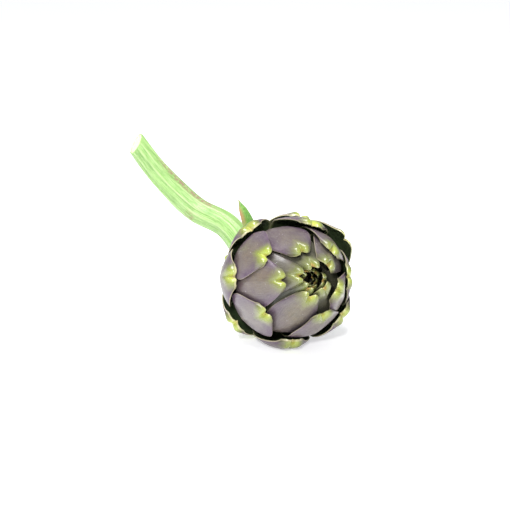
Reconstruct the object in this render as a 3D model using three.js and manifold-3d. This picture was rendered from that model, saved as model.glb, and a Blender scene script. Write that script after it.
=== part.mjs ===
// A globe artichoke picked with its stem, lying on its side.
// Millimetres, +Z up. The origin is on the flat spot that the flower head rests on; the nose of
// the head points along -Y and a little upwards, and the stem runs back along +Y, left and up.
// The head is a bud of overlapping leaves (bracts) set on one spiral, each on a layer of its own.

import * as THREE from 'three';
import { mergeVertices } from 'three/addons/utils/BufferGeometryUtils.js';
import Module from 'manifold-3d';

const { degToRad, radToDeg, clamp, lerp, smoothstep } = THREE.MathUtils;

// Flower head: an egg shape, round about its own axis.
const HEAD_RADIUS = 39;
const NOSE_LENGTH = 45;
const BACK_LENGTH = 37;
const NOSE_RISE = degToRad(19);
const HEAD_CENTRE = new THREE.Vector3(2, 6.5, 38.6);

// Spiral of bracts. Bract 0 is a large one halfway up the front; lower numbers lie outside it.
const OUTERMOST = -20;
const INNERMOST = 22;
const GOLDEN_ANGLE = 137.5;
const FIRST_BEARING = 140;
const TIP_CURVE_OFFSET = 1.27;
const TIP_CURVE_RATE = 0.157;
const PIT_ANGLE = 5.5;
const LAYER_STEP = 0.6;
const NOSE_EXTRA_STEP = 0.45;

// No plant keeps exactly to its spiral. For each bract: degrees that it strays round the axis,
// degrees that its tip strays away from the nose, and millimetres that its tip leans outwards.
const STRAYS = {
	'-20': [0, -21, 1.6], '-19': [0, -12, 0], '-18': [0, -10, 0], '-17': [0, -8, -0.4],
	'-16': [0, -8, 0], '-15': [4, -12, 1.8], '-11': [-4, -14, 1.4], '-10': [8, -4, 1.4],
	'-9': [0, 0, 0.9], '-8': [-2, 0, 0.4], '-7': [5, -9, -0.7], '-6': [-4, -12, 1.6],
	'-5': [-3, 7, 0.8], '-4': [6, -2, 1.2], '-3': [-20, 2, 1], '-2': [-12, 2, -0.3],
	'-1': [-7, -3, 0], '0': [4, 5, 0.4], '1': [7, -2, 0], '2': [-13, 3, 0],
	'3': [-17, -1, -0.3], '4': [0, -1, 0], '5': [-4, 3, 0], '6': [-2, -5, 0], '7': [13, -1, 0],
	'8': [4, -2, 0], '9': [6, -4, 0], '10': [22, -2, 0], '11': [12, -1, 0],
	'12': [-12, -3, 0]
};

// Bract blade. Angles are degrees round the axis for widths and away from the nose for lengths.
// The low bracts, behind the widest part of the head, are small and thin.
const BLADE_COLUMNS = 6;
const BLADE_ROWS = 8;
const ROW_CROWDING = 1.3;
const WIDEST_HALF_ANGLE = 27.5;
const NARROWEST_HALF_ANGLE = 20;
const LOW_NARROWING = 9;
const OUTER_WIDEST_AFTER = 24;
const INNER_WIDEST_AFTER = 34;
const LOW_SHORTENING = 10;
const OUTER_TIP_SHARE = 0.4;
const INNER_TIP_SHARE = 0.46;
const BASE_NARROWING = 0.45;
const OUTER_NOTCH = 3;
const INNER_NOTCH = 1.2;
const LOW_NOTCH_SHARE = 0.2;
const NOTCH_SHARE = 1 / 3;
const EDGE_THICKNESS = 0.7;
const BASE_THICKNESS = 2;
const LOW_BASE_THICKNESS = 1.7;
const TIP_THICKNESS = 0.9;

// Outer bracts are cupped: they bulge away from the inner ones, which sit deeper, and their tips
// curl back in. The low ones bulge without a curl, and so does one at the side that stands open.
// The innermost bracts sink into the pit.
const INNER_SINK = 0.3;
const PIT_SINK = 2.4;
const STANDING_OPEN = -6;
const OUTER_BULGE = 2.4;
const BULGE_AT_EDGE = 0.3;
const OUTER_CURL = 1.6;
const CURL_REACH = 7;

// Heart and stem, one continuous tissue. The heart is an egg of revolution in the head.
const HEART_RADIUS = 17;
const HEART_TOP = -10;
const HEART_BOTTOM = -36;
const HEART_RINGS = 9;
const NECK_RADIUS = 9.2;
const STEM_END_RADIUS = 6.8;
const STEM_SIDES = 16;
const STEM_RINGS = 36;
const CUT_SLANT = 0.5;
const CLEARANCE = 0.8;
const STEM_ROUTE = [
	[0, 41, -13.7], [0.5, 53, -8], [-1, 65, 3], [-7, 77, 13.5], [-21, 94, 21.5], [-38, 108, 40],
	[-53, 118, 62.5]
];

// Inner bud: a layer of its own inside the bracts, from the pit at the nose down to its foot.
const BUD_LAYER = INNERMOST + 3;
const BUD_STEPS = 12;
const BUD_FOOT_ANGLE = 122;
const BUD_FOOT_RADIUS = 10;

// Small leaf on the neck of the stem.
const LEAF_BASE = new THREE.Vector3(3.5, 55, 6.6);
const LEAF_TIP = new THREE.Vector3(-9, 54, 38);
const LEAF_WIDTH = 9;
const LEAF_THICKNESS = 1.2;
const LEAF_COLUMNS = 4;
const LEAF_ROWS = 6;
const LEAF_BOW = 3;
const LEAF_FOLD = 1.6;
const LEAF_STALK_SHARE = 0.12;

const GROUND_DEPTH = 20;
const GROUND_SIZE = 400;

const wasm = await Module();
wasm.setup();

function material(colour, roughness) {
	return new THREE.MeshStandardMaterial({ color: colour, roughness, metalness: 0 });
}

function named(name, geometry, colour, roughness) {
	const mesh = new THREE.Mesh(geometry, material(colour, roughness));
	mesh.name = name;
	return mesh;
}

// A closed thick sheet: pointAt(column, row, side) gives its points, side +1 outside, -1 inside.
function thickSheet(columns, rows, pointAt) {
	const places = [];
	const triangles = [];
	const across = columns + 1;
	const layer = across * (rows + 1);
	for (const side of [1, -1]) {
		for (let row = 0; row <= rows; row++) {
			for (let column = 0; column <= columns; column++) {
				places.push(...pointAt(column, row, side).toArray());
			}
		}
	}
	const quad = (a, b, c, d) => triangles.push(a, c, b, a, d, c);
	for (let row = 0; row < rows; row++) {
		for (let column = 0; column < columns; column++) {
			const a = row * across + column;
			quad(a, a + 1, a + across + 1, a + across);
			quad(layer + a, layer + a + across, layer + a + across + 1, layer + a + 1);
		}
	}
	const rim = [];
	for (let column = 0; column < columns; column++) rim.push(column);
	for (let row = 0; row < rows; row++) rim.push(row * across + columns);
	for (let column = columns; column > 0; column--) rim.push(rows * across + column);
	for (let row = rows; row > 0; row--) rim.push(row * across);
	rim.forEach((a, i) => {
		const b = rim[(i + 1) % rim.length];
		quad(a, layer + a, layer + b, b);
	});
	const geometry = new THREE.BufferGeometry();
	geometry.setAttribute('position', new THREE.Float32BufferAttribute(places, 3));
	geometry.setIndex(triangles);
	return geometry;
}

// Degrees from the nose at which a spiral index has its tip, and the index with its tip there.
function spiralTip(index) {
	return 180 / (1 + Math.exp(TIP_CURVE_OFFSET + TIP_CURVE_RATE * index));
}

function spiralIndexAt(angle) {
	return (Math.log(180 / angle - 1) - TIP_CURVE_OFFSET) / TIP_CURVE_RATE;
}

// Depth of a bract's layer below the outline of the head. Layers never meet: each is a step
// deeper than the one outside it. All but the inner bracts come up to the outline at their tips.
function layerDepth(index, angle) {
	const nearNose = 1 - smoothstep(angle, 20, 50);
	const step = LAYER_STEP + NOSE_EXTRA_STEP * nearNose;
	const sink = INNER_SINK * smoothstep(index, -6, -2);
	const pitSink = PIT_SINK * smoothstep(index, 11, 14) * nearNose;
	return step * (index - spiralIndexAt(angle)) + sink + pitSink;
}

// A point of the head, from a direction on the unit sphere and a depth below the outline.
function headPoint(direction, depth) {
	const length = direction.z > 0 ? NOSE_LENGTH : BACK_LENGTH;
	const share = 1 - depth / HEAD_RADIUS;
	return new THREE.Vector3(
		direction.x * HEAD_RADIUS * share,
		direction.y * HEAD_RADIUS * share,
		direction.z * length * share
	);
}

function insideHeart(point) {
	const middle = (HEART_TOP + HEART_BOTTOM) / 2;
	const halfHeight = (HEART_TOP - HEART_BOTTOM) / 2 + CLEARANCE;
	const radius = Math.hypot(point.x, point.y);
	const inEgg = Math.hypot(radius / (HEART_RADIUS + CLEARANCE), (point.z - middle) / halfHeight) < 1;
	return inEgg || (point.z < middle && radius < NECK_RADIUS + CLEARANCE);
}

// Degrees from the nose at which a bract's inner face meets the heart.
function baseAngle(index) {
	let angle = 100;
	const meets = (degrees) => {
		const turn = degToRad(degrees);
		const direction = new THREE.Vector3(Math.sin(turn), 0, Math.cos(turn));
		const point = headPoint(direction, layerDepth(index, degrees) + BASE_THICKNESS / 2);
		return insideHeart(point) || point.x < BUD_FOOT_RADIUS;
	};
	while (!meets(angle)) angle += 0.25;
	return angle - 0.5;
}

function bractDesign(index) {
	const [roundStray, tipStray, lean] = STRAYS[index] ?? [0, 0, 0];
	const tip = Math.max(spiralTip(index) + tipStray, PIT_ANGLE);
	const inner = smoothstep(index, -1, 13);
	const low = smoothstep(-index, 7, 17);
	const cupped = smoothstep(-index, 2, 5);
	const curled = index === STANDING_OPEN ? 0 : cupped * (1 - smoothstep(-index, 8, 11));
	return {
		index,
		bearing: FIRST_BEARING + GOLDEN_ANGLE * index + roundStray,
		tip,
		base: baseAngle(index),
		halfAngle: lerp(WIDEST_HALF_ANGLE, NARROWEST_HALF_ANGLE, inner) - LOW_NARROWING * low,
		widestAfter: lerp(OUTER_WIDEST_AFTER, INNER_WIDEST_AFTER, inner) - LOW_SHORTENING * low,
		tipShare: lerp(OUTER_TIP_SHARE, INNER_TIP_SHARE, inner),
		notch: lerp(OUTER_NOTCH, INNER_NOTCH, inner) * lerp(1, LOW_NOTCH_SHARE, low),
		thickness: lerp(BASE_THICKNESS, LOW_BASE_THICKNESS, low),
		lean,
		bulge: OUTER_BULGE * cupped,
		curl: OUTER_CURL * curled
	};
}

// Half-width of the blade as a share of its widest, by degrees back from the tip.
function bladeOutline(design, back) {
	const reach = back / design.widestAfter;
	if (reach < 1) return lerp(design.tipShare, 1, Math.sin(Math.PI / 2 * reach));
	const length = design.base - design.tip - design.widestAfter;
	return 1 - BASE_NARROWING * ((back - design.widestAfter) / length) ** 1.5;
}

function bractPoint(design, column, row, side) {
	const across = 2 * column / BLADE_COLUMNS - 1;
	const along = (row / BLADE_ROWS) ** ROW_CROWDING;
	const back = along * (design.base - design.tip);
	const inNotch = row === 0 ? Math.max(0, 1 - Math.abs(across) / NOTCH_SHARE) : 0;
	const notch = design.notch * inNotch;
	const angle = degToRad(design.tip + back + notch);
	const swing = degToRad(across * design.halfAngle * bladeOutline(design, back));
	const direction = new THREE.Vector3(
		Math.sin(angle) * Math.cos(swing), Math.sin(swing), Math.cos(angle) * Math.cos(swing)
	);
	const middle = lerp(TIP_THICKNESS, design.thickness, smoothstep(along, 0, 0.5));
	const thickness = lerp(middle, EDGE_THICKNESS, across * across);
	const bulge = design.bulge * Math.sin(Math.PI * along ** 0.6) * lerp(1, BULGE_AT_EDGE, across * across);
	const curl = design.curl * Math.exp(-back / CURL_REACH);
	const lift = design.lean * (1 - along) ** 2 + bulge - curl;
	const depth = layerDepth(design.index, radToDeg(Math.acos(direction.z))) - lift;
	return headPoint(direction, depth - side * thickness / 2);
}

function headMatrix() {
	const matrix = new THREE.Matrix4().makeRotationX(Math.PI / 2 - NOSE_RISE);
	return matrix.setPosition(HEAD_CENTRE);
}

function solidOf(geometry) {
	const bare = geometry.clone();
	bare.deleteAttribute('normal');
	bare.deleteAttribute('uv');
	const merged = mergeVertices(bare, 1e-4);
	return new wasm.Manifold(new wasm.Mesh({
		numProp: 3,
		vertProperties: new Float32Array(merged.attributes.position.array),
		triVerts: new Uint32Array(merged.index.array)
	}));
}

function geometryOf(solid) {
	const mesh = solid.getMesh();
	const geometry = new THREE.BufferGeometry();
	geometry.setAttribute('position', new THREE.Float32BufferAttribute(mesh.vertProperties, 3));
	geometry.setIndex(Array.from(mesh.triVerts));
	return geometry;
}

// Presses the underside flat where it would reach below the surface that the head rests on.
function pressedFlat(geometry) {
	geometry.computeBoundingBox();
	if (geometry.boundingBox.min.z >= 0) return geometry;
	const ground = new THREE.BoxGeometry(GROUND_SIZE, GROUND_SIZE, GROUND_DEPTH);
	ground.translate(0, 0, -GROUND_DEPTH / 2);
	return geometryOf(solidOf(geometry).subtract(solidOf(ground)));
}

function bract(index) {
	const design = bractDesign(index);
	const pointAt = (column, row, side) => bractPoint(design, column, row, side);
	const geometry = thickSheet(BLADE_COLUMNS, BLADE_ROWS, pointAt);
	geometry.rotateZ(degToRad(design.bearing));
	geometry.applyMatrix4(headMatrix());
	const number = String(index - OUTERMOST + 1).padStart(2, '0');
	const colour = new THREE.Color(0x6f6277).lerp(new THREE.Color(0x7c8a4a), smoothstep(index, 4, 16));
	return named(`bract_${number}`, pressedFlat(geometry), colour, 0.5);
}

// The innermost leaves, closed tightly round the florets, sitting on the heart.
function innerBud() {
	const profile = [new THREE.Vector2(0, HEART_TOP + 1)];
	for (let step = 0; step <= BUD_STEPS; step++) {
		const degrees = lerp(BUD_FOOT_ANGLE, PIT_ANGLE, step / BUD_STEPS);
		const turn = degToRad(degrees);
		const direction = new THREE.Vector3(Math.sin(turn), 0, Math.cos(turn));
		const point = headPoint(direction, layerDepth(BUD_LAYER, degrees));
		profile.push(new THREE.Vector2(point.x, point.z));
	}
	profile.push(new THREE.Vector2(0, profile.at(-1).y + 1));
	const geometry = new THREE.LatheGeometry(profile, STEM_SIDES).rotateX(Math.PI / 2);
	geometry.applyMatrix4(headMatrix());
	return named('inner_bud', geometryOf(solidOf(geometry)), 0x6b7a3c, 0.6);
}

// Radius of the heart and stem along their middle line, by millimetres from the top of the heart.
function tissueRadius(distance, length) {
	const height = HEART_TOP - HEART_BOTTOM;
	const x = clamp(2 * distance / height - 1, -1, 1);
	const egg = HEART_RADIUS * Math.sqrt(1 - x * x);
	const stem = lerp(NECK_RADIUS, STEM_END_RADIUS, clamp((distance - height) / (length - height), 0, 1));
	return distance < height / 2 ? egg : Math.max(egg, stem);
}

function tissueCurve() {
	const toHead = headMatrix();
	const axis = [HEART_TOP, (HEART_TOP + HEART_BOTTOM) / 2, HEART_BOTTOM];
	const points = axis.map((z) => new THREE.Vector3(0, 0, z).applyMatrix4(toHead));
	STEM_ROUTE.forEach((p) => points.push(new THREE.Vector3(...p).add(HEAD_CENTRE)));
	return new THREE.CatmullRomCurve3(points, false, 'centripetal');
}

// A ring of points round the middle line at each step, with a point at the top and a slanted cut.
function heartAndStem() {
	const curve = tissueCurve();
	curve.arcLengthDivisions = 400;
	const length = curve.getLength();
	const heartHeight = HEART_TOP - HEART_BOTTOM;
	const places = [...curve.getPointAt(0).toArray()];
	const triangles = [];
	let side = new THREE.Vector3(1, 0, 0);
	for (let ring = 0; ring < STEM_RINGS; ring++) {
		const heartShare = (1 - Math.cos(Math.PI * (ring + 1) / (HEART_RINGS + 1))) / 2;
		const distance = ring < HEART_RINGS
			? heartShare * heartHeight
			: lerp(heartHeight, length, (ring - HEART_RINGS + 1) / (STEM_RINGS - HEART_RINGS));
		const share = distance / length;
		const centre = curve.getPointAt(share);
		const forward = curve.getTangentAt(share);
		side = side.clone().addScaledVector(forward, -side.dot(forward)).normalize();
		const other = new THREE.Vector3().crossVectors(forward, side);
		const radius = tissueRadius(distance, length);
		const slant = ring === STEM_RINGS - 1 ? CUT_SLANT : 0;
		for (let corner = 0; corner < STEM_SIDES; corner++) {
			const turn = 2 * Math.PI * corner / STEM_SIDES;
			const place = centre.clone()
				.addScaledVector(side, radius * Math.cos(turn))
				.addScaledVector(other, radius * Math.sin(turn))
				.addScaledVector(forward, slant * radius * Math.cos(turn));
			places.push(...place.toArray());
		}
	}
	const at = (ring, corner) => 1 + ring * STEM_SIDES + corner % STEM_SIDES;
	for (let corner = 0; corner < STEM_SIDES; corner++) {
		triangles.push(0, at(0, corner + 1), at(0, corner));
		for (let ring = 0; ring < STEM_RINGS - 1; ring++) {
			triangles.push(at(ring, corner), at(ring, corner + 1), at(ring + 1, corner + 1));
			triangles.push(at(ring, corner), at(ring + 1, corner + 1), at(ring + 1, corner));
		}
	}
	const last = places.length / 3;
	places.push(...curve.getPointAt(1).toArray());
	for (let corner = 0; corner < STEM_SIDES; corner++) {
		triangles.push(last, at(STEM_RINGS - 1, corner), at(STEM_RINGS - 1, corner + 1));
	}
	const geometry = new THREE.BufferGeometry();
	geometry.setAttribute('position', new THREE.Float32BufferAttribute(places, 3));
	geometry.setIndex(triangles);
	return named('heart_and_stem', geometry, 0x9fce7a, 0.55);
}

function stemLeaf() {
	const base = LEAF_BASE.clone().add(HEAD_CENTRE);
	const tip = LEAF_TIP.clone().add(HEAD_CENTRE);
	const forward = tip.clone().sub(base).normalize();
	const outward = new THREE.Vector3(0, -1, 0);
	outward.addScaledVector(forward, -outward.dot(forward)).normalize();
	const across = new THREE.Vector3().crossVectors(outward, forward);
	const length = base.distanceTo(tip);
	const geometry = thickSheet(LEAF_COLUMNS, LEAF_ROWS, (column, row, side) => {
		const u = 2 * column / LEAF_COLUMNS - 1;
		const v = row / LEAF_ROWS;
		const outline = lerp(LEAF_STALK_SHARE, 1, Math.sin(Math.PI * v ** 0.8) ** 0.8);
		const halfWidth = LEAF_WIDTH / 2 * outline;
		const bow = LEAF_BOW * Math.sin(Math.PI * v) - LEAF_FOLD * u * u;
		return base.clone()
			.addScaledVector(forward, v * length)
			.addScaledVector(across, u * halfWidth)
			.addScaledVector(outward, bow + side * LEAF_THICKNESS * (1 - 0.5 * u * u) / 2);
	});
	return named('stem_leaf', geometry, 0x5f9a3a, 0.5);
}

const artichoke = new THREE.Group();
artichoke.name = 'artichoke';
for (let index = OUTERMOST; index <= INNERMOST; index++) artichoke.add(bract(index));
artichoke.add(innerBud());
artichoke.add(heartAndStem());
artichoke.add(stemLeaf());

export default artichoke;
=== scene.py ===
"""A violet globe artichoke lying on a pale table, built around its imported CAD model.

Lengths in this file are millimetres and angles are degrees until a mesh is made, which is in metres.
The head is described as in the CAD model: bracts on one spiral, each on a layer of its own.
"""

import math

import bpy
import numpy as np
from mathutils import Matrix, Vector


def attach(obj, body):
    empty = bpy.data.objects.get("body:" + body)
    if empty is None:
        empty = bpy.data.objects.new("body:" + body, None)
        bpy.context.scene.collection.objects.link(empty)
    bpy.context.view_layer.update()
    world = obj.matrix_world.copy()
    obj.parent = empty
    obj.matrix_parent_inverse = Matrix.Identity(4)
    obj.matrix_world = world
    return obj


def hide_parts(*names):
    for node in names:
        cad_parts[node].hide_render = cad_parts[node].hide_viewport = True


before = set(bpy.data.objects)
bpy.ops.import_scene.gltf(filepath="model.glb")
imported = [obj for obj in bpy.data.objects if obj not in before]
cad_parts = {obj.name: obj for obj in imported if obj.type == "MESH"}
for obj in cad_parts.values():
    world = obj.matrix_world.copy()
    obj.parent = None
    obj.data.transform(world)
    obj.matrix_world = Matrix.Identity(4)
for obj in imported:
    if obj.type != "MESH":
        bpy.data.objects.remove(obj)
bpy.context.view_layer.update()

MM = 0.001

# Flower head, as in the CAD model.
HEAD_RADIUS = 39.0
NOSE_LENGTH = 45.0
BACK_LENGTH = 37.0
NOSE_RISE = math.radians(19)
HEAD_CENTRE = np.array([2.0, 6.5, 38.6])

# Spiral of bracts, numbered by index from the outside in.
OUTERMOST = -20
INNERMOST = 22
GOLDEN_ANGLE = 137.5
FIRST_BEARING = 140.0
TIP_CURVE_OFFSET = 1.27
TIP_CURVE_RATE = 0.157
PIT_ANGLE = 5.5
# For each bract: degrees round the axis, degrees away from the nose, millimetres outwards.
STRAYS = {
    -20: (0, -21, 1.6), -19: (0, -12, 0), -18: (0, -10, 0), -17: (0, -8, -0.4),
    -16: (0, -8, 0), -15: (4, -12, 1.8), -11: (-4, -14, 1.4), -10: (8, -4, 1.4),
    -9: (0, 0, 0.9), -8: (-2, 0, 0.4), -7: (5, -9, -0.7), -6: (-4, -12, 1.6),
    -5: (-3, 7, 0.8), -4: (6, -2, 1.2), -3: (-20, 2, 1), -2: (-12, 2, -0.3), -1: (-7, -3, 0),
    0: (4, 5, 0.4), 1: (7, -2, 0), 2: (-13, 3, 0), 3: (-17, -1, -0.3), 4: (0, -1, 0),
    5: (-4, 3, 0), 6: (-2, -5, 0), 7: (13, -1, 0), 8: (4, -2, 0), 9: (6, -4, 0),
    10: (22, -2, 0), 11: (12, -1, 0), 12: (-12, -3, 0),
}

# Layers. Near the nose they lie further apart, and the innermost sink into the pit.
LAYER_STEP = 0.6
NOSE_EXTRA_STEP = 0.45
NOSE_ANGLES = (20, 50)
INNER_SINK = 0.3
INNER_SINK_INDICES = (-6, -2)
PIT_SINK = 2.4
PIT_SINK_INDICES = (11, 14)

# Kinds of bract, each coming in over a range of indices, or of negative ones for the outer kinds.
INNER_INDICES = (-1, 13)
LOW_INDICES = (7, 17)
CUPPED_INDICES = (2, 5)
UNCURLED_INDICES = (8, 11)
PILLOW_INDICES = (1, 4)
FLAT_AGAIN_INDICES = (10, 13)
STANDING_OPEN = -6

# Outline of a bract blade. Two values in brackets are for an outer and an inner bract.
# Lengths with "angle" or "after" in their names are in degrees.
HALF_ANGLES = (27.5, 20.0)
LOW_NARROWING = 9
WIDEST_AFTER = (24, 34)
LOW_SHORTENING = 10
TIP_SHARES = (0.42, 0.5)
BASE_NARROWING = 0.45
NARROWING_POWER = 1.5
NOTCH_ANGLES = (4.2, 2.8)
LOW_NOTCH_SHARE = 0.5
NOTCH_WIDTH = 0.17
CORNER_ROUNDING_ANGLE = 4.5
LARGEST_SKEW_ANGLE = 0.9
RIPPLE_ANGLE = 0.25
BASE_SEARCH_START = 100.0
BASE_SEARCH_STEP = 0.25
BASE_SEARCH_DEPTH = 1.4
BASE_SHORTENING = 0.5

# Thickness of a blade.
EDGE_THICKNESS = 0.8
TIP_THICKNESS = 1.0
BASE_THICKNESS = 2.0
LOW_BASE_THICKNESS = 1.7
EDGE_ROUNDING = 0.8

# Relief of a blade: heights, then how far each reaches, in millimetres or in half-widths.
OUTER_BULGE = 2.4
OUTER_CURL = 1.6
CURL_REACH_ANGLE = 7.0
BULGE_LOSS_AT_EDGE = 0.7
PILLOW = 2.0
PILLOW_AT = 6
PILLOW_REACH = 6
LOBE_HEIGHTS = (1.2, 1.5)
LOBE_PLACE = 0.52
LOBE_WIDTH = 0.4
LOBE_AT = 3.2
LOBE_LENGTH = 3.4
CREASE_DEPTHS = (0.9, 0.8)
CREASE_WIDTH = 0.9
CREASE_LENGTH = 5
CROWN_HEIGHTS = (0.3, 1.3)
CROWN_LENGTH = 12
TIP_CURLS = (1.5, 1.8)
TIP_CURL_LENGTH = 1.8
OPEN_TURNS_OUT = 1.5
KEEL_HEIGHT = 0.35
KEEL_WIDTH = 3.5
VEIN_HEIGHT = 0.05
VEIN_RATE = 54.6
EDGE_LIFT = 0.25
LONG_WAVE = 0.3
SHORT_WAVE = 0.15

BLADE_COLUMNS = 40
BLADE_ROWS = 60
COLUMN_CROWDING = 0.75
DEGREE = HEAD_RADIUS * math.pi / 180
LOWEST = 0.02
BRACT_SEED = 48

# Inner bud.
BUD_LAYER = INNERMOST + 3
BUD_FOOT_ANGLE = 122
BUD_FOOT_RADIUS = 10.0
BUD_RINGS = 60
BUD_SIDES = 96
BUD_NOSE_RISE = 0.6

# Heart and stem.
HEART_RADIUS = 17.0
HEART_TOP = -10.0
HEART_BOTTOM = -36.0
HEART_CLEARANCE = 0.8
NECK_RADIUS = 9.2
STEM_END_RADIUS = 6.8
STEM_ROUTE = [
    (0, 41, -13.7), (0.5, 53, -8), (-1, 65, 3), (-7, 77, 13.5), (-21, 94, 21.5), (-38, 108, 40),
    (-53, 118, 62.5),
]
STEM_SIDES = 120
STEM_RINGS = 260
POINTS_PER_SPAN = 60
RIBS = 11
RIBS_BETWEEN = 17
RIB_HEIGHT = 0.34
RIB_TWIST = 0.004
NECK_SWELLING = 0.5
NECK_SWELLING_AT = 50
CUT_SLANT = 0.5
CUT_SLANT_LENGTH = 12
CUT_RINGS = 11
CUT_DISH = 0.5
# A snag and a long brown scrape: millimetres along the stem and radians round it.
SNAG_AT = 104
SNAG_TURN = 3.25
SNAG_HEIGHT = 1.0
SNAG_COLOUR = 0.8
SCRAPE_TURN = -1.2
SCRAPE_STARTS = (84, 100)
SCRAPE_ENDS = (136, 150)

# Small leaf on the neck of the stem.
LEAF_BASE = np.array([3.5, 55.0, 6.6])
LEAF_TIP = np.array([-8.0, 54.0, 37.0])
LEAF_WIDTH = 8.0
LEAF_THICKNESS = 1.1
LEAF_BOW = 3
LEAF_FOLD = 1.6
LEAF_STALK_SHARE = 0.12
LEAF_POINT_SHARE = 0.2
LEAF_RIB = 0.3
LEAF_COLUMNS = 24
LEAF_ROWS = 48

# Table and light. The lights are in metres and watts.
TABLE_HALF_SIZE = 60.0
TABLE_GLOW = 0.5
SKY_COLOUR = (0.97, 0.985, 1.0, 1)
SKY_STRENGTH = 0.5
OVERHEAD_LIGHT = {"place": (-0.15, -0.05, 0.75), "size": 0.4, "power": 8.5}
GLINT_LIGHT = {"place": (-0.45, -0.75, 0.55), "size": 0.09, "power": 6.0}

# Camera, at the photograph's viewing angle.
CAMERA_AZIMUTH = math.radians(-23)
CAMERA_ELEVATION = math.radians(18)
CAMERA_DISTANCE = 900.0
VIEW_WIDTH = 306.0
HEAD_RIGHT_OF_MIDDLE = 18.5
HEAD_BELOW_MIDDLE = 15.2
SENSOR_WIDTH = 36.0


def lerp(a, b, t):
    return a + (b - a) * t


def smoothstep(x, low, high):
    t = np.clip((np.asarray(x, float) - low) / (high - low), 0, 1)
    return t * t * (3 - 2 * t)


def bell(x, width):
    return np.exp(-(np.asarray(x, float) / width) ** 2)


def linear(red, green, blue):
    """A colour from 0 to 255 steps as the eye sees them, for a shader."""
    def one(c):
        c = c / 255
        return c / 12.92 if c <= 0.04045 else ((c + 0.055) / 1.055) ** 2.4
    return one(red), one(green), one(blue), 1.0


# ---------------------------------------------------------------- head and bracts

def coming_in(index, indices):
    return float(smoothstep(index, *indices))


def spiral_tip(index):
    return 180 / (1 + math.exp(TIP_CURVE_OFFSET + TIP_CURVE_RATE * index))


def layer_depth(index, angle):
    """Depth of a bract's layer below the outline of the head, at some degrees from the nose."""
    at = (np.log(180 / angle - 1) - TIP_CURVE_OFFSET) / TIP_CURVE_RATE
    near_nose = 1 - smoothstep(angle, *NOSE_ANGLES)
    step = LAYER_STEP + NOSE_EXTRA_STEP * near_nose
    sink = INNER_SINK * coming_in(index, INNER_SINK_INDICES)
    pit_sink = PIT_SINK * coming_in(index, PIT_SINK_INDICES) * near_nose
    return step * (index - at) + sink + pit_sink


def head_point(direction, depth):
    length = np.where(direction[..., 2] > 0, NOSE_LENGTH, BACK_LENGTH)
    share = 1 - depth / HEAD_RADIUS
    scale = np.stack([HEAD_RADIUS * share, HEAD_RADIUS * share, length * share], axis=-1)
    return direction * scale


def base_angle(index):
    """Degrees from the nose at which a bract's inner face meets the heart."""
    middle = (HEART_TOP + HEART_BOTTOM) / 2
    half_height = (HEART_TOP - HEART_BOTTOM) / 2 + HEART_CLEARANCE
    angle = BASE_SEARCH_START
    while True:
        turn = math.radians(angle)
        direction = np.array([math.sin(turn), 0, math.cos(turn)])
        x, _, z = head_point(direction, layer_depth(index, angle) + BASE_SEARCH_DEPTH)
        egg = math.hypot(x / (HEART_RADIUS + HEART_CLEARANCE), (z - middle) / half_height) < 1
        neck = z < middle and x < NECK_RADIUS + HEART_CLEARANCE
        if egg or neck or x < BUD_FOOT_RADIUS:
            return angle - BASE_SHORTENING
        angle += BASE_SEARCH_STEP


def bract_design(index):
    round_stray, tip_stray, lean = STRAYS.get(index, (0, 0, 0))
    inner = coming_in(index, INNER_INDICES)
    low = coming_in(-index, LOW_INDICES)
    cupped = coming_in(-index, CUPPED_INDICES)
    curled = cupped * (1 - coming_in(-index, UNCURLED_INDICES))
    pillowed = coming_in(index, PILLOW_INDICES) * (1 - coming_in(index, FLAT_AGAIN_INDICES))
    is_open = index == STANDING_OPEN
    return {
        "index": index,
        "inner": inner,
        "cupped": cupped,
        "bearing": FIRST_BEARING + GOLDEN_ANGLE * index + round_stray,
        "tip": max(spiral_tip(index) + tip_stray, PIT_ANGLE),
        "base": base_angle(index),
        "half_angle": lerp(*HALF_ANGLES, inner) - LOW_NARROWING * low,
        "widest_after": lerp(*WIDEST_AFTER, inner) - LOW_SHORTENING * low,
        "tip_share": lerp(*TIP_SHARES, inner),
        "notch": lerp(*NOTCH_ANGLES, inner) * lerp(1, LOW_NOTCH_SHARE, low),
        "thickness": lerp(BASE_THICKNESS, LOW_BASE_THICKNESS, low),
        "lean": lean,
        "bulge": OUTER_BULGE * cupped,
        "curl": 0 if is_open else OUTER_CURL * curled,
        "tip_curl": lerp(*TIP_CURLS, inner) * (1 - OPEN_TURNS_OUT * is_open),
        "pillow": PILLOW * pillowed,
    }


def blade_outline(design, back):
    """Half-width of the blade as a share of its widest, by degrees back from the tip."""
    rise = np.sin(np.pi / 2 * np.clip(back / design["widest_after"], 0, 1))
    length = max(design["base"] - design["tip"] - design["widest_after"], 1.0)
    fall = np.clip((back - design["widest_after"]) / length, 0, 1) ** NARROWING_POWER
    return lerp(design["tip_share"], 1, rise) - BASE_NARROWING * fall


def to_row(points, bearing):
    """From a head frame turned to a bract's bearing to the row frame."""
    turn = math.radians(bearing)
    x = points[..., 0] * math.cos(turn) - points[..., 1] * math.sin(turn)
    y = points[..., 0] * math.sin(turn) + points[..., 1] * math.cos(turn)
    z = points[..., 2]
    rise, level = math.sin(NOSE_RISE), math.cos(NOSE_RISE)
    return np.stack([x, y * rise - z * level, y * level + z * rise], axis=-1) + HEAD_CENTRE


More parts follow.
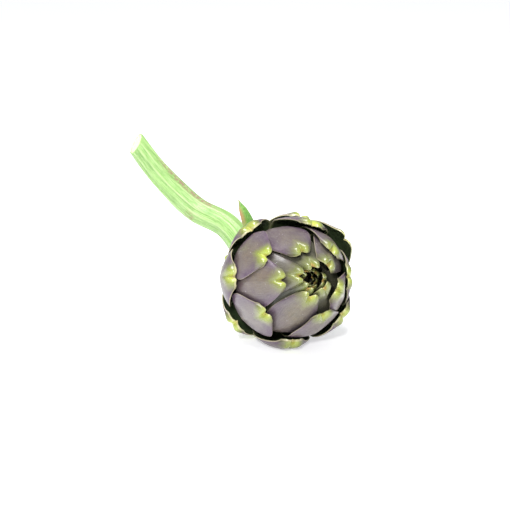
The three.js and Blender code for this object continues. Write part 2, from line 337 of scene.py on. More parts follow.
def blade_relief(design, u, v, back, from_tip, lateral, half, random):
    """Millimetres by which the blade stands out from its layer."""
    inner = design["inner"]
    from_edge = np.maximum(from_tip, 0)
    tip_half = design["half_angle"] * design["tip_share"] * DEGREE
    lobe_place = (np.abs(lateral) - LOBE_PLACE * tip_half) / (LOBE_WIDTH * tip_half)
    lobe = lerp(*LOBE_HEIGHTS, inner) * bell(lobe_place, 1) * bell(from_tip - LOBE_AT, LOBE_LENGTH)
    crease = lerp(*CREASE_DEPTHS, inner) * bell(lateral, CREASE_WIDTH)
    crease = crease * np.exp(-from_edge / CREASE_LENGTH)
    crown = lerp(*CROWN_HEIGHTS, inner) * (1 - u * u) * np.exp(-from_edge / CROWN_LENGTH)
    tip_curl = design["tip_curl"] * np.exp(-from_edge / TIP_CURL_LENGTH)
    pillow = design["pillow"] * (1 - u * u) ** 1.5 * bell(from_tip - PILLOW_AT, PILLOW_REACH)
    keel = KEEL_HEIGHT * bell(lateral, KEEL_WIDTH) * smoothstep(from_tip, 4, 16)
    veins = VEIN_HEIGHT * np.cos(lateral / np.maximum(half, 1) * VEIN_RATE)
    veins = veins * smoothstep(from_tip, 2, 9)
    edge_lift = EDGE_LIFT * smoothstep(np.abs(u), 0.75, 1) * smoothstep(from_tip, 3, 12)
    phases = random.uniform(0, 6.3, 4)
    wave = LONG_WAVE * np.sin(from_tip / 9 + phases[0]) * np.sin(3.2 * u + phases[1])
    wave = wave + SHORT_WAVE * np.sin(from_tip / 4 + phases[2] + 5 * u) * np.abs(u)
    cup = design["bulge"] * np.sin(np.pi * v ** 0.6) * (1 - BULGE_LOSS_AT_EDGE * u * u)
    cup = cup - design["curl"] * np.exp(-back / CURL_REACH_ANGLE)
    lean = design["lean"] * (1 - v) ** 2
    return lean + cup + lobe - crease + crown + pillow - tip_curl + keel + veins + edge_lift + wave


def bract_sheet(design, random):
    """Points of the outer and inner face on a grid, and what the skin needs to know at each.

    u runs across the blade from -1 to 1 and v along it from the tip to the base.
    """
    even = np.linspace(-1, 1, BLADE_COLUMNS + 1)[None, :]
    u = even - COLUMN_CROWDING * np.sin(2 * np.pi * even) / (2 * np.pi)
    v = (np.linspace(0, 1, BLADE_ROWS + 1) ** 2)[:, None]
    skew = random.uniform(-LARGEST_SKEW_ANGLE, LARGEST_SKEW_ANGLE)
    notch = design["notch"] * bell(u, NOTCH_WIDTH) + CORNER_ROUNDING_ANGLE * np.abs(u) ** 3 + skew * u
    ripple = RIPPLE_ANGLE * np.sin(9 * u + random.uniform(0, 6)) * (1 - bell(u, 0.3))
    back = v * (design["base"] - design["tip"]) + (notch + ripple) * (1 - v) ** 3
    outline = blade_outline(design, back - notch)
    half = design["half_angle"] * outline
    lateral = u * half * DEGREE
    from_tip = (back - notch) * DEGREE

    angle = np.radians(design["tip"] + back)
    swing = np.radians(u * half)
    direction = np.stack([
        np.sin(angle) * np.cos(swing), np.sin(swing) + 0 * angle, np.cos(angle) * np.cos(swing)
    ], axis=-1)
    polar = np.degrees(np.arccos(direction[..., 2]))

    to_side = (1 - np.abs(u)) * half * DEGREE
    to_margin = np.minimum(to_side, np.maximum(from_tip, 0) + 0 * u)
    lift = blade_relief(design, u, v, back, from_tip, lateral, half, random)
    middle = lerp(TIP_THICKNESS, design["thickness"], smoothstep(v, 0, 0.5))
    thickness = lerp(middle, EDGE_THICKNESS, u * u)
    thickness = thickness * np.sqrt(1 - (1 - np.clip(to_margin / EDGE_ROUNDING, 0, 1)) ** 2)

    depth = layer_depth(design["index"], polar) - lift
    faces = [to_row(head_point(direction, depth - side * thickness / 2), design["bearing"])
             for side in (1, -1)]
    for face in faces:
        face[..., 2] = np.maximum(face[..., 2], LOWEST)
    width = np.maximum(outline * design["half_angle"] * DEGREE, 1)
    facts = {
        "from_tip": from_tip + 0 * u,
        "lateral": lateral,
        "to_margin": to_margin,
        "across": np.abs(u) + 0 * v,
        "fan": lateral / width,
    }
    return faces, facts


def sheet_mesh(name, faces, facts, constants):
    """One closed mesh from two grids that meet along their rim."""
    rows, columns = faces[0].shape[:2]
    count = rows * columns
    inner_index = np.arange(count).reshape(rows, columns) + count
    outer_index = np.arange(count).reshape(rows, columns)
    rim = np.zeros((rows, columns), bool)
    rim[0, :] = rim[:, 0] = rim[:, -1] = True
    inner_index[rim] = outer_index[rim]
    quads = []
    for grid, flip in ((outer_index, False), (inner_index, True)):
        a, b = grid[:-1, :-1].ravel(), grid[:-1, 1:].ravel()
        c, d = grid[1:, 1:].ravel(), grid[1:, :-1].ravel()
        quads.append(np.stack([a, b, c, d] if flip else [d, c, b, a], axis=1))
    last_outer, last_inner = outer_index[-1], inner_index[-1]
    quads.append(np.stack([last_outer[:-1], last_inner[:-1], last_inner[1:], last_outer[1:]], axis=1))
    quads = np.concatenate(quads)
    points = np.concatenate([faces[0].reshape(-1, 3), faces[1].reshape(-1, 3)])
    used = np.zeros(2 * count, bool)
    used[quads.ravel()] = True
    renumber = np.cumsum(used) - 1
    mesh = new_mesh(name, points[used], renumber[quads])
    for key, grid in facts.items():
        write_fact(mesh, key, np.tile(grid.reshape(-1), 2)[used])
    inside = np.concatenate([np.zeros(count), np.ones(count)])[used]
    write_fact(mesh, "inside", inside)
    for key, value in constants.items():
        write_fact(mesh, key, np.full(int(used.sum()), value))
    return mesh


def new_mesh(name, points, polygons):
    """A smooth mesh in metres from points in millimetres, without polygons that have no area."""
    mesh = bpy.data.meshes.new(name)
    faces = []
    for polygon in np.asarray(polygons).tolist():
        corners = [c for i, c in enumerate(polygon) if c != polygon[i - 1]]
        if len(set(corners)) > 2:
            faces.append(corners)
    mesh.from_pydata((np.asarray(points) * MM).tolist(), [], faces)
    mesh.validate()
    mesh.update()
    mesh.shade_smooth()
    return mesh


def write_fact(mesh, name, values):
    attribute = mesh.attributes.new(name, "FLOAT", "POINT")
    attribute.data.foreach_set("value", np.asarray(values, np.float32))


def add_piece(name, mesh, node, material):
    piece = bpy.data.objects.new(name, mesh)
    bpy.context.scene.collection.objects.link(piece)
    piece.data.materials.append(material)
    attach(piece, "root")
    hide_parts(node)
    return piece


def ring_quads(ring, following, flip=False):
    """Quads between two rings of point numbers. Flip turns them to face the other way."""
    ahead, following_ahead = np.roll(ring, -1), np.roll(following, -1)
    if flip:
        return np.stack([ring, following, following_ahead, ahead], axis=1)
    return np.stack([ring, ahead, following_ahead, following], axis=1)


def ring_fan(ring, centre, flip=False):
    """Triangles from a ring of point numbers to one point, each as a quad with a doubled corner."""
    ahead = np.roll(ring, -1)
    end = np.full_like(ring, centre)
    return np.stack([ahead, ring, end, end] if flip else [ring, ahead, end, end], axis=1)


# ---------------------------------------------------------------- shader helpers

class Shader:
    """A material's node tree, with short calls for the nodes used here."""

    def __init__(self, name):
        self.material = bpy.data.materials.new(name)
        self.material.use_nodes = True
        self.tree = self.material.node_tree
        self.surface = self.tree.nodes["Principled BSDF"]

    def node(self, kind, **settings):
        made = self.tree.nodes.new(kind)
        for key, value in settings.items():
            setattr(made, key, value)
        return made

    def put(self, socket, value):
        if isinstance(value, bpy.types.NodeSocket):
            self.tree.links.new(value, socket)
        else:
            socket.default_value = value

    def fact(self, name):
        return self.node("ShaderNodeAttribute", attribute_name=name).outputs["Fac"]

    def position(self):
        return self.node("ShaderNodeTexCoord").outputs["Object"]

    def math(self, operation, a, b=0.0, c=0.0):
        made = self.node("ShaderNodeMath", operation=operation)
        for socket, value in zip(made.inputs, (a, b, c)):
            self.put(socket, value)
        return made.outputs[0]

    def ramp(self, value, low, high, to_low=0.0, to_high=1.0):
        made = self.node("ShaderNodeMapRange", interpolation_type="SMOOTHSTEP")
        for key, item in (("Value", value), ("From Min", low), ("From Max", high),
                          ("To Min", to_low), ("To Max", to_high)):
            self.put(made.inputs[key], item)
        return made.outputs["Result"]

    def mix(self, share, a, b, blend="MIX"):
        made = self.node("ShaderNodeMix", data_type="RGBA", blend_type=blend)
        made.clamp_factor = True
        self.put(made.inputs["Factor"], share)
        self.put(made.inputs["A"], a)
        self.put(made.inputs["B"], b)
        return made.outputs["Result"]

    def vector(self, x, y, z):
        made = self.node("ShaderNodeCombineXYZ")
        for socket, value in zip(made.inputs, (x, y, z)):
            self.put(socket, value)
        return made.outputs[0]

    def noise(self, vector, scale, detail=3.0, roughness=0.55):
        made = self.node("ShaderNodeTexNoise")
        self.put(made.inputs["Vector"], vector)
        made.inputs["Scale"].default_value = scale
        made.inputs["Detail"].default_value = detail
        made.inputs["Roughness"].default_value = roughness
        return made.outputs["Fac"]

    def voronoi(self, vector, scale):
        made = self.node("ShaderNodeTexVoronoi")
        self.put(made.inputs["Vector"], vector)
        made.inputs["Scale"].default_value = scale
        return made.outputs["Distance"]

    def bump(self, height, distance, strength, normal=None):
        made = self.node("ShaderNodeBump")
        made.inputs["Distance"].default_value = distance
        made.inputs["Strength"].default_value = strength
        self.put(made.inputs["Height"], height)
        if normal is not None:
            self.put(made.inputs["Normal"], normal)
        return made.outputs["Normal"]

    def finish(self, colour, roughness, normal):
        self.put(self.surface.inputs["Base Color"], colour)
        self.put(self.surface.inputs["Roughness"], roughness)
        self.put(self.surface.inputs["Normal"], normal)
        return self.material


def bract_skin():
    """Waxy grey-violet skin, lime round the notch, with fine lengthwise veins and pale edges."""
    s = Shader("bract_skin")
    from_tip, lateral = s.fact("from_tip"), s.fact("lateral")
    across, to_margin = s.fact("across"), s.fact("to_margin")
    inner, lime, seed = s.fact("inner"), s.fact("lime"), s.fact("seed")
    place = s.position()

    # The veins run lengthwise and draw together towards the tip, as the blade's own sides do.
    streak_place = s.vector(s.math("MULTIPLY", s.fact("fan"), 26.0),
                            s.math("MULTIPLY", from_tip, 0.09), seed)
    streaks = s.noise(streak_place, 1.6, 4.0, 0.65)
    fine_streaks = s.noise(streak_place, 4.5, 3.0, 0.6)
    clouds = s.noise(place, 90.0, 3.0)
    mottle = s.noise(place, 420.0, 4.0, 0.7)
    speckle = s.noise(place, 2600.0, 2.0)

    grey = s.mix(s.ramp(clouds, 0.35, 0.65), linear(97, 87, 86), linear(75, 65, 73))
    brown = s.mix(s.ramp(mottle, 0.35, 0.7), linear(96, 82, 62), linear(80, 70, 58))
    grey = s.mix(s.math("MULTIPLY", s.fact("tone"), s.ramp(across, 0.8, 0.1)), grey, brown)
    # Violet towards the side margins and further back from the tip: partly the skin's own violet,
    # partly painted shade where the overlapping bracts cover this one.
    violet = s.mix(s.ramp(mottle, 0.35, 0.7), linear(66, 44, 68), linear(86, 64, 86))
    violet_and_shade_share = s.math("ADD", s.ramp(across, 0.35, 1.0), s.math("SUBTRACT", clouds, 0.5))
    violet_and_shade_share = s.math("ADD", violet_and_shade_share, s.ramp(from_tip, 12.0, 34.0, 0.0, 0.5))
    colour = s.mix(s.math("MULTIPLY", violet_and_shade_share, 0.9), grey, violet)
    olive = s.mix(s.ramp(clouds, 0.3, 0.7), linear(76, 78, 50), linear(58, 64, 36))
    colour = s.mix(s.ramp(inner, 0.3, 1.0, 0.0, 0.85), colour, olive)
    colour = s.mix(s.ramp(streaks, 0.42, 0.72, 0.0, 0.45), colour, linear(114, 110, 101))
    colour = s.mix(s.ramp(fine_streaks, 0.5, 0.75, 0.0, 0.4), colour, linear(80, 68, 84))

    # Lime patch: an oval round the notch, broken up at its border.
    reach = s.math("POWER", s.math("DIVIDE", from_tip, 9.5), 2.0)
    breadth = s.math("POWER", s.math("DIVIDE", lateral, 9.5), 2.0)
    oval = s.math("ADD", s.math("SQRT", s.math("ADD", reach, breadth)),
                  s.math("MULTIPLY", s.math("SUBTRACT", mottle, 0.5), 0.9))
    patch = s.math("MULTIPLY", s.ramp(oval, 1.15, 0.25), lime)
    green = s.mix(s.ramp(mottle, 0.35, 0.7), linear(108, 122, 38), linear(144, 154, 56))
    colour = s.mix(patch, colour, green)
    yellow = s.math("MULTIPLY", s.ramp(oval, 0.6, 0.0), lime)
    colour = s.mix(s.math("MULTIPLY", yellow, 0.7), colour, linear(184, 196, 90))

    # Pale dry edge, stronger on the outer bracts, and a touch of tan at the very tip.
    edge = s.math("ADD", to_margin, s.math("MULTIPLY", s.math("SUBTRACT", mottle, 0.5), 0.35))
    rim = s.math("MULTIPLY", s.ramp(edge, 0.6, 0.2), s.fact("rim"))
    colour = s.mix(rim, colour, linear(196, 186, 150))
    tan = s.math("MULTIPLY", s.ramp(from_tip, 3.0, 0.3), s.ramp(s.math("ABSOLUTE", lateral), 1.6, 0.3))
    tan_share = s.ramp(inner, 0.3, 1.0, 0.2, 0.6)
    colour = s.mix(s.math("MULTIPLY", tan, tan_share), colour, linear(196, 148, 84))

    # Pale flecks of dust and scurf, partly painted highlight.
    flecks = s.voronoi(place, 620.0)
    few = s.ramp(s.noise(place, 160.0), 0.55, 0.64)
    dust_and_highlight_fleck = s.math("MULTIPLY", s.ramp(flecks, 0.16, 0.08), few)
    colour = s.mix(s.math("MULTIPLY", dust_and_highlight_fleck, 0.7), colour, linear(225, 220, 222))
    colour = s.mix(s.ramp(speckle, 0.5, 0.75, 0.0, 0.16), colour, linear(176, 170, 170))

    # The face turned to the bud is green, darkened as painted shade.
    inside = s.ramp(s.fact("inside"), 0.3, 0.7)
    shaded_inner_green = s.mix(s.ramp(mottle, 0.3, 0.7), linear(52, 66, 44), linear(70, 86, 52))
    shaded_inner_green = s.mix(s.ramp(to_margin, 2.5, 0.3, 0.0, 0.6), shaded_inner_green, linear(150, 158, 104))
    colour = s.mix(inside, colour, shaded_inner_green)

    roughness = s.math("ADD", s.ramp(mottle, 0.3, 0.7, 0.36, 0.5), s.math("MULTIPLY", dust_and_highlight_fleck, 0.3))
    roughness = s.math("SUBTRACT", roughness, s.ramp(oval, 1.0, 0.3, 0.0, 0.18))
    height = s.math("ADD", s.math("MULTIPLY", streaks, 0.7), s.math("MULTIPLY", fine_streaks, 0.3))
    normal = s.bump(height, 0.00012, 0.55)
    normal = s.bump(speckle, 0.00004, 0.35, normal)
    s.surface.inputs["Specular IOR Level"].default_value = 0.5
    s.surface.inputs["Coat Weight"].default_value = 0.2
    s.surface.inputs["Coat Roughness"].default_value = 0.22
    return s.finish(colour, roughness, normal)


def make_bracts():
    skin = bract_skin()
    random = np.random.default_rng(BRACT_SEED)
    for index in range(OUTERMOST, INNERMOST + 1):
        design = bract_design(index)
        faces, facts = bract_sheet(design, random)
        constants = {
            "inner": design["inner"],
            "lime": lerp(random.uniform(0.75, 1.0), 0.35, design["inner"]),
            "seed": random.uniform(0, 50),
            "tone": random.uniform(0, 1),
            "rim": lerp(0.3, 0.6, design["cupped"]),
        }
        name = f"bract_{index - OUTERMOST + 1:02d}"
        mesh = sheet_mesh(f"{name}_blade", faces, facts, constants)
        add_piece(f"{name}_blade", mesh, name, skin)


# ---------------------------------------------------------------- inner bud

def bud_skin():
    s = Shader("bud_skin")
    mottle = s.noise(s.position(), 300.0, 4.0)
    fibres = s.noise(s.vector(s.math("MULTIPLY", s.fact("turn"), 14.0), s.fact("along"), 0.0), 3.0)
    colour = s.mix(mottle, linear(52, 56, 34), linear(70, 60, 48))
    colour = s.mix(s.ramp(fibres, 0.4, 0.7, 0.0, 0.6), colour, linear(66, 50, 60))
    return s.finish(colour, s.ramp(mottle, 0.3, 0.7, 0.45, 0.6), s.bump(fibres, 0.0002, 0.6))


def make_inner_bud():
    """The innermost leaves, closed round the florets: an egg with soft spiral folds."""
    polar = np.linspace(PIT_ANGLE, BUD_FOOT_ANGLE, BUD_RINGS)[:, None]
    turn = np.linspace(0, 2 * np.pi, BUD_SIDES, endpoint=False)[None, :]
    folds = 0.35 * np.cos(5 * turn + polar / 14) + 0.2 * np.cos(8 * turn - polar / 11)
    depth = layer_depth(BUD_LAYER, polar) - folds * smoothstep(polar, PIT_ANGLE, 30)
    rad = np.radians(polar)
    direction = np.stack([np.sin(rad) * np.cos(turn), np.sin(rad) * np.sin(turn),
                          np.cos(rad) + 0 * turn], axis=-1)
    points = head_point(direction, depth).reshape(-1, 3)
    nose = np.array([[0, 0, points[:BUD_SIDES, 2].max() + BUD_NOSE_RISE]])
    foot = np.array([[0, 0, HEART_TOP + 1]])
    points = to_row(np.concatenate([points, nose, foot]), 0)

    grid = np.arange(BUD_RINGS * BUD_SIDES).reshape(BUD_RINGS, BUD_SIDES)
    nose_number, foot_number = grid.size, grid.size + 1
    quads = [ring_quads(ring, following, flip=True) for ring, following in zip(grid, grid[1:])]
    quads += [ring_fan(grid[0], nose_number), ring_fan(grid[-1], foot_number, flip=True)]
    mesh = new_mesh("inner_bud_leaves", points, np.concatenate(quads))
    write_fact(mesh, "turn", np.append(np.tile(turn.ravel(), BUD_RINGS), [0, 0]))
    write_fact(mesh, "along", np.append(np.repeat(polar.ravel() / 30, BUD_SIDES), [0, 4]))
    add_piece("inner_bud_leaves", mesh, "inner_bud", bud_skin())


# ---------------------------------------------------------------- heart and stem

def catmull_rom(points, count):
    """Evenly spaced points of a centripetal Catmull-Rom curve, and how far along each is."""
    points = np.asarray(points, float)
    ends = [2 * points[0] - points[1], 2 * points[-1] - points[-2]]
    p = np.vstack([ends[0], points, ends[1]])
    dense = []
    for i in range(1, len(p) - 2):
        knots = [0.0]
        for a, b in ((i - 1, i), (i, i + 1), (i + 1, i + 2)):
            knots.append(knots[-1] + math.sqrt(np.linalg.norm(p[b] - p[a])))
        t = np.linspace(knots[1], knots[2], POINTS_PER_SPAN, endpoint=i == len(p) - 3)[:, None]
        a1 = lerp(p[i - 1], p[i], (t - knots[0]) / (knots[1] - knots[0]))
        a2 = lerp(p[i], p[i + 1], (t - knots[1]) / (knots[2] - knots[1]))
        a3 = lerp(p[i + 1], p[i + 2], (t - knots[2]) / (knots[3] - knots[2]))
        b1 = lerp(a1, a2, (t - knots[0]) / (knots[2] - knots[0]))
        b2 = lerp(a2, a3, (t - knots[1]) / (knots[3] - knots[1]))
        dense.append(lerp(b1, b2, (t - knots[1]) / (knots[2] - knots[1])))
    dense = np.concatenate(dense)
    walked = np.append(0, np.cumsum(np.linalg.norm(np.diff(dense, axis=0), axis=1)))
    places = np.linspace(0, walked[-1], count)
    return np.stack([np.interp(places, walked, dense[:, k]) for k in range(3)], axis=1), places


def tissue_radius(distance, length):
    """Radius of the heart and then of the stem, by distance from the top of the heart."""
    height = HEART_TOP - HEART_BOTTOM
    x = np.clip(2 * distance / height - 1, -1, 1)
    egg = HEART_RADIUS * np.sqrt(1 - x * x)
    stem = lerp(NECK_RADIUS, STEM_END_RADIUS, np.clip((distance - height) / (length - height), 0, 1))
    return np.where(distance < height / 2, egg, np.maximum(egg, stem))


def stem_skin():
    """Pale green ribbed skin, with paler rib crests, brown scars and a fibrous cut face."""
    s = Shader("stem_skin")
    place = s.position()
    turn, along, crest = s.fact("turn"), s.fact("along"), s.fact("crest")
    fibre_place = s.vector(s.math("MULTIPLY", s.math("COSINE", turn), 5.0),
                           s.math("MULTIPLY", s.math("SINE", turn), 5.0),
                           s.math("MULTIPLY", along, 0.035))
    fibres = s.noise(fibre_place, 3.2, 5.0, 0.65)
    clouds = s.noise(place, 60.0, 3.0)
    mottle = s.noise(place, 500.0, 3.0)
    colour = s.mix(s.ramp(fibres, 0.35, 0.68), linear(104, 146, 70), linear(160, 190, 124))
    colour = s.mix(s.ramp(crest, 0.2, 1.0, 0.0, 0.5), colour, linear(186, 206, 150))
    colour = s.mix(s.ramp(clouds, 0.45, 0.7, 0.0, 0.45), colour, linear(140, 178, 102))
    # Painted shade: darker green on the neck towards the head, standing for the shade under the head.
    near_head_shade = s.ramp(along, 66.0, 36.0, 0.0, 0.6)
    colour = s.mix(near_head_shade, colour, linear(84, 130, 62))
    scar = s.math("MULTIPLY", s.fact("scar"), s.ramp(mottle, 0.35, 0.6))
    colour = s.mix(s.math("MULTIPLY", scar, 0.8), colour, linear(132, 96, 86))
    specks = s.ramp(s.noise(place, 900.0, 2.0), 0.66, 0.74, 0.0, 0.35)
    colour = s.mix(specks, colour, linear(110, 140, 70))

    # Cut face: pale pith in the middle, a ring of darker bundles, and green rind.
    out = s.fact("from_axis")
    grain = s.ramp(s.noise(place, 1500.0, 3.0), 0.3, 0.7)
    pith = s.mix(grain, linear(206, 218, 168), linear(230, 234, 198))
    bundles = s.math("MULTIPLY", s.ramp(out, 0.55, 0.7), s.ramp(s.voronoi(place, 700.0), 0.5, 0.25))
    face = s.mix(s.math("MULTIPLY", bundles, 0.6), pith, linear(128, 150, 84))
    face = s.mix(s.ramp(out, 0.86, 0.96), face, linear(140, 186, 98))
    colour = s.mix(s.ramp(s.fact("cut"), 0.4, 0.6), colour, face)
    height = s.math("ADD", fibres, s.math("MULTIPLY", mottle, 0.25))
    normal = s.bump(height, 0.0003, 0.6)
    s.surface.inputs["Coat Weight"].default_value = 0.05
    return s.finish(colour, s.ramp(mottle, 0.3, 0.7, 0.42, 0.58), normal)


def stem_centres():
    """Points down the middle of the heart and the stem, and how far along each is."""
    axis = [to_row(np.array([0.0, 0.0, z]), 0)
            for z in (HEART_TOP, (HEART_TOP + HEART_BOTTOM) / 2, HEART_BOTTOM)]
    route = axis + [np.array(point) + HEAD_CENTRE for point in STEM_ROUTE]
    return catmull_rom(route, STEM_RINGS)


def stem_frames(centres):
    """At each centre, the direction of the stem and two directions across it, without twist."""
    side = np.array([1.0, 0, 0])
    frames = []
    for i in range(len(centres)):
        forward = centres[min(i + 1, len(centres) - 1)] - centres[max(i - 1, 0)]
        forward = forward / np.linalg.norm(forward)
        side = side - forward * (side @ forward)
        side = side / np.linalg.norm(side)
        frames.append((forward, side, np.cross(forward, side)))
    return np.array(frames).transpose(1, 0, 2)


def turn_from(turn, middle):
    """Radians from one bearing round the stem to another, the short way round."""
    return np.angle(np.exp(1j * (turn - middle)))


def make_heart_and_stem():
    centres, walked = stem_centres()
    forward, side, other = stem_frames(centres)
    length = walked[-1]
    heart_height = HEART_TOP - HEART_BOTTOM
    turns = np.linspace(0, 2 * np.pi, STEM_SIDES, endpoint=False)
    turn, distance = turns[None, :], walked[:, None]

    radius = tissue_radius(np.maximum(distance, 0.15), length)
    on_stem = smoothstep(distance, heart_height - 4, heart_height + 6)
    twist = distance * RIB_TWIST
    ribs = np.cos(RIBS * (turn + twist)) + 0.6 * np.cos(RIBS_BETWEEN * turn + 1.3 - 2 * twist)
    ribs = ribs / 1.6
    lumps = 0.25 * np.sin(distance / 13 + 2 * turn) + 0.18 * np.sin(distance / 6 + 3 * turn + 1)
    snag = bell(distance - SNAG_AT, 3.5) * bell(turn_from(turn, SNAG_TURN), 0.4)
    swelling = NECK_SWELLING * bell(distance - NECK_SWELLING_AT, 7)
    shape = radius + on_stem * (RIB_HEIGHT * ribs + lumps + SNAG_HEIGHT * snag + swelling)
    slant = CUT_SLANT * radius * smoothstep(distance, length - CUT_SLANT_LENGTH, length)
    skin = (centres[:, None] + (np.cos(turn) * shape)[..., None] * side[:, None]
            + (np.sin(turn) * shape)[..., None] * other[:, None]
            + (np.cos(turn) * slant)[..., None] * forward[:, None])
    scrape = bell(turn_from(turn, SCRAPE_TURN), 0.28) * smoothstep(distance, *SCRAPE_STARTS)
    scar = scrape * (1 - smoothstep(distance, *SCRAPE_ENDS)) + SNAG_COLOUR * snag

    # The cut face is a set of rings of its own, a little dished, with a crisp edge.
    share = 1 - np.arange(CUT_RINGS) / CUT_RINGS
    end_centre = skin[-1].mean(axis=0)
    dish = -CUT_DISH * (1 - share) + 0.12 * np.sin(9 * share)
    cut = end_centre + (skin[-1] - end_centre) * share[:, None, None]
    cut = cut + (forward[-1] * dish[:, None])[:, None]
    points = np.concatenate([skin.reshape(-1, 3), centres[:1], cut.reshape(-1, 3),
                             [end_centre - forward[-1] * CUT_DISH]])

    skin_count, cut_count = STEM_RINGS * STEM_SIDES, CUT_RINGS * STEM_SIDES
    skin_grid = np.arange(skin_count).reshape(STEM_RINGS, STEM_SIDES)
    cut_grid = skin_count + 1 + np.arange(cut_count).reshape(CUT_RINGS, STEM_SIDES)
    quads = [ring_quads(ring, following) for ring, following in zip(skin_grid, skin_grid[1:])]
    quads += [ring_fan(skin_grid[0], skin_count, flip=True), ring_quads(skin_grid[-1], cut_grid[0])]
    quads += [ring_quads(ring, following) for ring, following in zip(cut_grid, cut_grid[1:])]
    quads += [ring_fan(cut_grid[-1], len(points) - 1)]
    mesh = new_mesh("heart_and_stem_skin", points, np.concatenate(quads))

    def write(name, on_skin, at_start, on_cut, at_end):
        skin_values = np.broadcast_to(on_skin, skin_grid.shape).ravel()
        cut_values = np.broadcast_to(on_cut, cut_grid.shape).ravel()
        write_fact(mesh, name, np.concatenate([skin_values, [at_start], cut_values, [at_end]]))

    write("turn", turn, 0, turn, 0)
    write("along", distance, 0, length, length)
    write("crest", on_stem * ribs, 0, 0, 0)
    write("scar", scar, 0, 0, 0)
    write("cut", 0, 0, 1, 1)
    write("from_axis", 1, 1, share[:, None], 0)
    add_piece("heart_and_stem_skin", mesh, "heart_and_stem", stem_skin())


# ---------------------------------------------------------------- stem leaf

def leaf_skin():
    """Green with paler veins, blushing orange-brown along one side."""
    s = Shader("leaf_skin")
    lateral, along = s.fact("lateral"), s.fact("along")
    mottle = s.noise(s.position(), 500.0, 3.0)
    vein_place = s.vector(s.math("MULTIPLY", lateral, 1.3), s.math("MULTIPLY", along, 2.0), 0.0)
    veins = s.noise(vein_place, 2.0)
    colour = s.mix(s.ramp(mottle, 0.3, 0.7), linear(92, 148, 58), linear(122, 172, 78))
    colour = s.mix(s.ramp(veins, 0.45, 0.7, 0.0, 0.5), colour, linear(160, 190, 110))
    blush = s.math("MULTIPLY", s.ramp(lateral, 0.2, 2.8), s.ramp(along, 0.35, 0.75))
    colour = s.mix(s.math("MULTIPLY", blush, 0.85), colour, linear(172, 112, 76))
    colour = s.mix(s.ramp(s.fact("to_margin"), 0.5, 0.1, 0.0, 0.6), colour, linear(150, 128, 84))
    return s.finish(colour, s.ramp(mottle, 0.3, 0.7, 0.4, 0.55), s.bump(veins, 0.0002, 0.6))


def make_stem_leaf():
    """A pointed blade, bowed and folded, with its tip at v = 1."""
    base, tip = LEAF_BASE + HEAD_CENTRE, LEAF_TIP + HEAD_CENTRE
    length = np.linalg.norm(tip - base)
    forward = (tip - base) / length
    outward = np.array([0, -1.0, 0])
    outward = outward - forward * (outward @ forward)
    outward = outward / np.linalg.norm(outward)
    across = np.cross(outward, forward)
    u = np.sin(np.linspace(-np.pi / 2, np.pi / 2, LEAF_COLUMNS + 1))[None, :]
    v = (1 - np.linspace(0, 1, LEAF_ROWS + 1) ** 1.4)[:, None]
    belly = np.sin(np.pi * np.clip(v, 0, 1) ** 0.8) ** 0.8
    half = LEAF_WIDTH / 2 * (LEAF_STALK_SHARE + (1 - LEAF_STALK_SHARE) * belly)
    point = np.sqrt(np.clip((1 - v) / LEAF_POINT_SHARE, 0, 1))
    half = half * np.where(v > 1 - LEAF_POINT_SHARE, point, 1)
    lateral = u * half
    bow = LEAF_BOW * np.sin(np.pi * v) - LEAF_FOLD * u * u + LEAF_RIB * bell(lateral, 0.6)
    to_margin = np.minimum((1 - np.abs(u)) * half, (1 - v) * length)
    rounding = np.sqrt(1 - (1 - np.clip(to_margin / 0.6, 0, 1)) ** 2)
    thickness = LEAF_THICKNESS * (1 - 0.5 * u * u) * rounding
    middle = (base + v[..., None] * length * forward + lateral[..., None] * across
              + bow[..., None] * outward)
    faces = [middle + (sign * thickness / 2)[..., None] * outward for sign in (1, -1)]
    facts = {"lateral": lateral, "along": v + 0 * u, "to_margin": to_margin}
    mesh = sheet_mesh("stem_leaf_blade", faces, facts, {})
    add_piece("stem_leaf_blade", mesh, "stem_leaf", leaf_skin())


# ---------------------------------------------------------------- table, light and camera

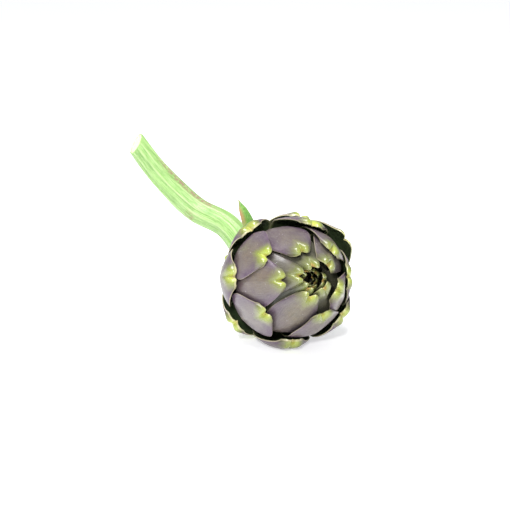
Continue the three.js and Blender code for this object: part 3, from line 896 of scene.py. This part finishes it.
def make_floor():
    """A pale table, larger than any view, with a faint glow that keeps it near white."""
    s = Shader("pale_table")
    cloud = s.noise(s.position(), 6.0, 2.0)
    colour = s.mix(cloud, (0.90, 0.91, 0.92, 1), (0.93, 0.935, 0.94, 1))
    s.put(s.surface.inputs["Emission Color"], colour)
    s.surface.inputs["Emission Strength"].default_value = TABLE_GLOW
    material = s.finish(colour, 0.6, s.bump(cloud, 0.0001, 0.1))
    mesh = bpy.data.meshes.new("table")
    size = TABLE_HALF_SIZE
    corners = [(-size, -size, 0), (size, -size, 0), (size, size, 0), (-size, size, 0)]
    mesh.from_pydata(corners, [], [(0, 1, 2, 3)])
    floor = bpy.data.objects.new("table", mesh)
    floor.data.materials.append(material)
    bpy.context.scene.collection.objects.link(floor)


def area_light(name, place, size, power):
    """A round lamp that points at the middle of the head."""
    data = bpy.data.lights.new(name, "AREA")
    data.shape = "DISK"
    data.size = size
    data.energy = power
    light = bpy.data.objects.new(name, data)
    light.location = place
    target = Vector(tuple(HEAD_CENTRE * MM))
    light.rotation_euler = (target - Vector(place)).to_track_quat("-Z", "Y").to_euler()
    bpy.context.scene.collection.objects.link(light)


def make_light():
    world = bpy.data.worlds.new("studio")
    world.use_nodes = True
    background = world.node_tree.nodes["Background"]
    background.inputs["Color"].default_value = SKY_COLOUR
    background.inputs["Strength"].default_value = SKY_STRENGTH
    bpy.context.scene.world = world
    area_light("overhead", **OVERHEAD_LIGHT)
    area_light("glint", **GLINT_LIGHT)


def make_camera():
    a, e = CAMERA_AZIMUTH, CAMERA_ELEVATION
    right = np.array([math.cos(a), math.sin(a), 0])
    back = np.array([math.sin(a) * math.cos(e), -math.cos(a) * math.cos(e), math.sin(e)])
    up = np.cross(back, right)
    target = HEAD_CENTRE - HEAD_RIGHT_OF_MIDDLE * right + HEAD_BELOW_MIDDLE * up
    place = target + CAMERA_DISTANCE * back
    data = bpy.data.cameras.new("camera")
    data.sensor_width = SENSOR_WIDTH
    data.lens = SENSOR_WIDTH * CAMERA_DISTANCE / VIEW_WIDTH
    camera = bpy.data.objects.new("camera", data)
    camera.location = tuple(place * MM)
    camera.rotation_euler = Vector(back).to_track_quat("Z", "Y").to_euler()
    bpy.context.scene.collection.objects.link(camera)
    bpy.context.scene.camera = camera


make_camera()
make_light()
make_floor()
make_bracts()
make_inner_bud()
make_heart_and_stem()
make_stem_leaf()
bpy.context.scene.view_settings.view_transform = "Standard"
